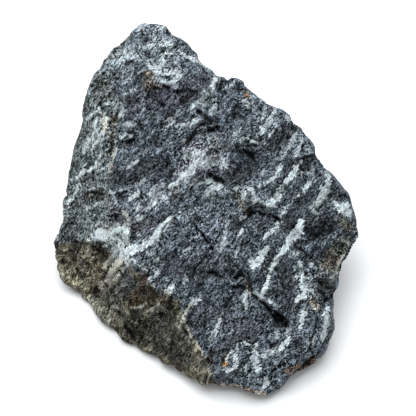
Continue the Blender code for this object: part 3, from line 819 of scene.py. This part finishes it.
class Nodes:
    """Short ways to add shader nodes and join them."""

    def __init__(self, material):
        material.use_nodes = True
        self.tree = material.node_tree
        self.shader = self.tree.nodes["Principled BSDF"]

    def set(self, socket, value):
        if isinstance(value, bpy.types.NodeSocket):
            self.tree.links.new(value, socket)
        else:
            socket.default_value = value

    def add(self, kind, inputs=(), **settings):
        node = self.tree.nodes.new("ShaderNode" + kind)
        for name, value in settings.items():
            setattr(node, name, value)
        for name, value in dict(inputs).items():
            self.set(node.inputs[name], value)
        return node

    def math(self, operation, first, second=0.0):
        return self.add("Math", {0: first, 1: second}, operation=operation).outputs[0]

    def total(self, first, *others):
        for other in others:
            first = self.math("ADD", first, other)
        return first

    def product(self, first, *others):
        for other in others:
            first = self.math("MULTIPLY", first, other)
        return first

    def attribute(self, name, output="Fac"):
        return self.add("Attribute", attribute_name=name).outputs[output]

    def step(self, value, low, high, start=0.0, end=1.0):
        inputs = {"Value": value, "From Min": low, "From Max": high, "To Min": start, "To Max": end}
        return self.add("MapRange", inputs, interpolation_type="SMOOTHSTEP").outputs["Result"]

    def mix(self, share, first, second):
        inputs = {"Factor": share, 6: first, 7: second}
        return self.add("Mix", inputs, data_type="RGBA").outputs[2]

    def blend(self, share, first, second):
        return self.add("Mix", {"Factor": share, 2: first, 3: second}, data_type="FLOAT").outputs[0]

    def scaled(self, colour, factor):
        node = self.add("VectorMath", {"Vector": colour, "Scale": factor}, operation="SCALE")
        return node.outputs["Vector"]

    def shifted(self, places, field, reach):
        """Places moved by a field of colours times the reach."""
        inputs = {0: field, 1: (reach, reach, reach), 2: places}
        return self.add("VectorMath", inputs, operation="MULTIPLY_ADD").outputs[0]

    def noise(self, places, detail, roughness):
        inputs = {"Vector": places, "Scale": 1.0, "Detail": detail, "Roughness": roughness}
        return self.add("TexNoise", inputs).outputs["Fac"]

    def cells(self, places):
        """A level from 0 to 1 for each cell of a broken pattern."""
        node = self.add("TexVoronoi", {"Vector": places, "Scale": 1.0})
        return self.add("SeparateColor", {"Color": node.outputs["Color"]}).outputs[0]


class StoneNodes(Nodes):
    """The stone's nodes, with the textures that its colours and its relief share."""

    def __init__(self, material):
        super().__init__(material)
        places = self.add("TexCoord").outputs["Object"]
        bend = self.add("TexNoise", {"Vector": places, "Scale": 28.0, "Detail": 1.0})
        bend_by = self.add("VectorMath", {0: bend.outputs["Color"], 1: (0.5, 0.5, 0.5)},
                           operation="SUBTRACT")
        self.bent = self.shifted(places, bend_by.outputs[0], GRAIN_BEND * MM)
        steep = self.noise(self.grained(FIBRE_SIZE), 2.0, 0.55)
        flat = self.noise(self.grained(FIBRE_SIZE, FLAT_GRAIN_AXES), 2.0, 0.55)
        self.textures = {
            "grain": self.cells(self.grained(GRAIN_SIZE)),
            "specks": self.cells(self.grained(SPECK_SIZE)),
            "chips": self.cells(self.shaken(self.grained(CHIP_SIZE), 0.9)),
            "flakes": self.cells(self.shaken(self.grained(FLAKE_SIZE), 0.7)),
            "fibres": self.blend(self.attribute("flat_grain"), steep, flat),
            "edge": self.noise(self.grained(EDGE_SIZE), 3.0, 0.75),
            "clouds": self.noise(self.grained(CLOUD_SIZE), 4.0, 0.7),
            "patches": self.noise(self.grained(PATCH_SIZE), 2.0, 0.5),
        }
        self.streaks = self.swing(fibres=2.6, grain=0.9, specks=0.8, flakes=0.7)
        self.mottle = self.step(self.streaks, -0.9, 0.6, 0.25, 1.15)
        self.brown = self.attribute("brown")
        self.ground = self.attribute("ground", "Color")
        self.reach = self.attribute("band_reach")
        self.near = self.step(self.reach, -4.0, 0.5)

    def grained(self, sizes, axes=GRAIN_AXES):
        """Places counted in texture sizes along the grain."""
        turn = Matrix(axes.tolist()).transposed().to_euler()
        inputs = {"Vector": self.bent, "Rotation": turn, "Scale": [size * MM for size in sizes]}
        return self.add("Mapping", inputs, vector_type="TEXTURE").outputs["Vector"]

    def shaken(self, places, reach):
        field = self.add("TexNoise", {"Vector": places, "Scale": 2.2, "Detail": 1.0})
        return self.shifted(places, field.outputs["Color"], reach)

    def swing(self, **amounts):
        """The named textures as swings about zero, each by its amount, added up."""
        parts = [self.product(self.math("SUBTRACT", self.textures[name], 0.5), amount)
                 for name, amount in amounts.items()]
        return self.total(*parts)

    def ground_colour(self):
        """Dark ground, speckled by grains of every size, more so near the bands."""
        lively = self.math("MAXIMUM", self.step(self.reach, -7.0, -1.0, 0.62, 0.85),
                           self.product(self.brown, 0.75))
        fine = self.total(self.swing(grain=1.9, specks=1.9),
                          self.product(lively, self.swing(flakes=0.95, fibres=1.8)))
        grit = self.total(self.step(self.brown, 0.0, 1.0, 1.0, 0.55), self.swing(patches=1.6))
        tone = self.total(self.product(fine, grit),
                          self.product(lively, self.swing(clouds=1.7, chips=0.7)),
                          self.product(self.brown, self.swing(edge=2.6)),
                          self.product(self.near, 0.08), 1.0)
        speckle = self.math("POWER", self.math("MAXIMUM", tone, 0.2), 2.2)
        return self.scaled(self.ground, self.math("MINIMUM", speckle, 6.0))

    def band_share(self):
        """White inside the bands, with ragged edges and dark grains left in."""
        ragged = self.total(self.reach, self.swing(edge=4.0, fibres=2.2, grain=1.0, flakes=0.9))
        return self.product(self.step(ragged, -0.3, 0.4), self.mottle, self.attribute("band_white"))

    def fleck_share(self):
        """Single pale grains, fewer on brown and on the darkest ground."""
        bright = self.total(self.swing(grain=1.0, fibres=2.2, clouds=2.0), self.product(self.near, 0.25))
        depth = self.add("SeparateColor", {"Color": self.ground}).outputs[1]
        return self.product(self.step(bright, 0.72, 1.05, 0.0, 0.75),
                            self.step(self.brown, 0.0, 1.0, 1.0, 0.35),
                            self.step(depth, 0.012, 0.045, 0.25, 1.0))

    def seam_share(self):
        """Hair-thin white seams that come and go."""
        seams = self.noise(self.grained(SEAM_SIZE), 3.0, 0.6)
        off_seam = self.math("ABSOLUTE", self.math("SUBTRACT", seams, 0.5))
        there = self.step(self.textures["edge"], 0.4, 0.6)
        return self.product(self.step(off_seam, 0.0, 0.022, 0.9, 0.0), there,
                            self.attribute("veined"), self.mottle)

    def vein_colour(self):
        vein = self.mix(self.attribute("warm"), WHITE_VEIN, CREAM_VEIN)
        # Brighter specks in the veins: pale grains, and painted glints on their crystals.
        return self.scaled(vein, self.step(self.streaks, 0.3, 1.3, 1.0, 1.3))

    def painted_shade_and_highlight(self):
        """Painted shade in hollows and cracks, and a painted highlight on crests."""
        hollow = self.total(self.attribute("hollow"), self.swing(edge=1.2, fibres=0.8, grain=0.3))
        crack = self.total(self.attribute("crack_reach"), self.swing(edge=1.8, fibres=1.2, grain=0.5))
        crack = self.product(self.step(crack, -0.45, 0.45), self.attribute("crack_painted_shade"),
                             self.step(self.streaks, 0.3, 1.1, 1.0, 0.55), 0.9)
        return self.product(self.step(hollow, 0.1, 1.2, 1.0, 0.15), self.math("SUBTRACT", 1.0, crack),
                            self.step(hollow, -0.9, -0.1, 1.3, 1.0))

    def fine_relief(self):
        """The grain as a slight bump."""
        heights = self.total(self.product(self.textures["grain"], 0.35), self.textures["fibres"])
        inputs = {"Height": heights, "Strength": BUMP_STRENGTH, "Distance": BUMP_DEPTH * MM}
        return self.add("Bump", inputs).outputs["Normal"]


def stone_material():
    """Dark speckled stone with broken white bands, all read from the stone's own places."""
    material = bpy.data.materials.new("zebra_stone_surface")
    nodes = StoneNodes(material)
    white = nodes.math("MAXIMUM", nodes.band_share(), nodes.fleck_share())
    white = nodes.math("MAXIMUM", white, nodes.seam_share())
    colour = nodes.mix(white, nodes.ground_colour(), nodes.vein_colour())
    shader = nodes.shader.inputs
    # The colour darkened by painted shade in hollows and cracks and lightened by a painted highlight on
    # crests.
    nodes.set(shader["Base Color"], nodes.scaled(colour, nodes.painted_shade_and_highlight()))
    nodes.set(shader["Roughness"], nodes.step(nodes.textures["specks"], 0.3, 0.7, 0.85, 0.5))
    nodes.set(shader["Specular IOR Level"], SPECULAR)
    nodes.set(shader["Normal"], nodes.fine_relief())
    return material


def plain_material(name, colour, roughness):
    material = bpy.data.materials.new(name)
    nodes = Nodes(material)
    nodes.set(nodes.shader.inputs["Base Color"], (*colour, 1.0))
    nodes.set(nodes.shader.inputs["Roughness"], roughness)
    return material


def view_to_world(view):
    return Vector(((np.array(view) @ VIEW_AXES + VIEW_MIDDLE) * MM).tolist())


def build_stone():
    piece = fine_net(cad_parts["zebra_rock"])
    add_relief(piece)
    thin_hidden_side(piece)
    paint(piece)
    piece.data.materials.clear()
    piece.data.materials.append(stone_material())
    piece.data.shade_smooth()
    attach(piece, "root")
    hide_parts("zebra_rock")


def build_floor():
    bpy.ops.mesh.primitive_plane_add(size=12.0, location=(0.0, 0.0, -0.0005))
    floor = bpy.context.object
    floor.name = "floor"
    floor.data.materials.append(plain_material("floor", colour=(0.86, 0.86, 0.86), roughness=0.9))


def add_light(name, towards, distance, size, power, colour):
    """A square soft box in the direction given in the view: across, up and out."""
    light = bpy.data.lights.new(name, "AREA")
    light.shape = "SQUARE"
    light.size = size
    light.energy = power
    light.color = colour
    lamp = bpy.data.objects.new(name, light)
    bpy.context.scene.collection.objects.link(lamp)
    away = Vector((np.array(towards) @ VIEW_AXES).tolist()).normalized()
    lamp.location = view_to_world((0, 0, 0)) + away * distance
    lamp.rotation_euler = away.to_track_quat("Z", "Y").to_euler()


def build_light():
    add_light("sky", towards=(-0.10, 0.80, 0.60), distance=1.5, size=1.9, power=39.0,
              colour=(0.95, 0.98, 1.0))
    add_light("fill", towards=(-0.35, 0.25, 0.9), distance=2.0, size=2.2, power=5.0,
              colour=(1.0, 0.98, 0.95))
    world = bpy.data.worlds.new("studio")
    world.use_nodes = True
    background = world.node_tree.nodes["Background"]
    background.inputs["Color"].default_value = (0.95, 0.97, 1.0, 1.0)
    background.inputs["Strength"].default_value = 0.55
    bpy.context.scene.world = world
    bpy.context.scene.view_settings.view_transform = "Standard"


def build_camera():
    camera = bpy.data.cameras.new("camera")
    camera.sensor_width = SENSOR
    camera.lens = SENSOR * EYE[2] / (IMAGE_SIZE * PIXEL)
    holder = bpy.data.objects.new("camera", camera)
    bpy.context.scene.collection.objects.link(holder)
    holder.location = view_to_world(EYE)
    holder.rotation_euler = Matrix(VIEW_AXES.T.tolist()).to_euler()
    bpy.context.scene.camera = holder


build_stone()
build_floor()
build_light()
build_camera()
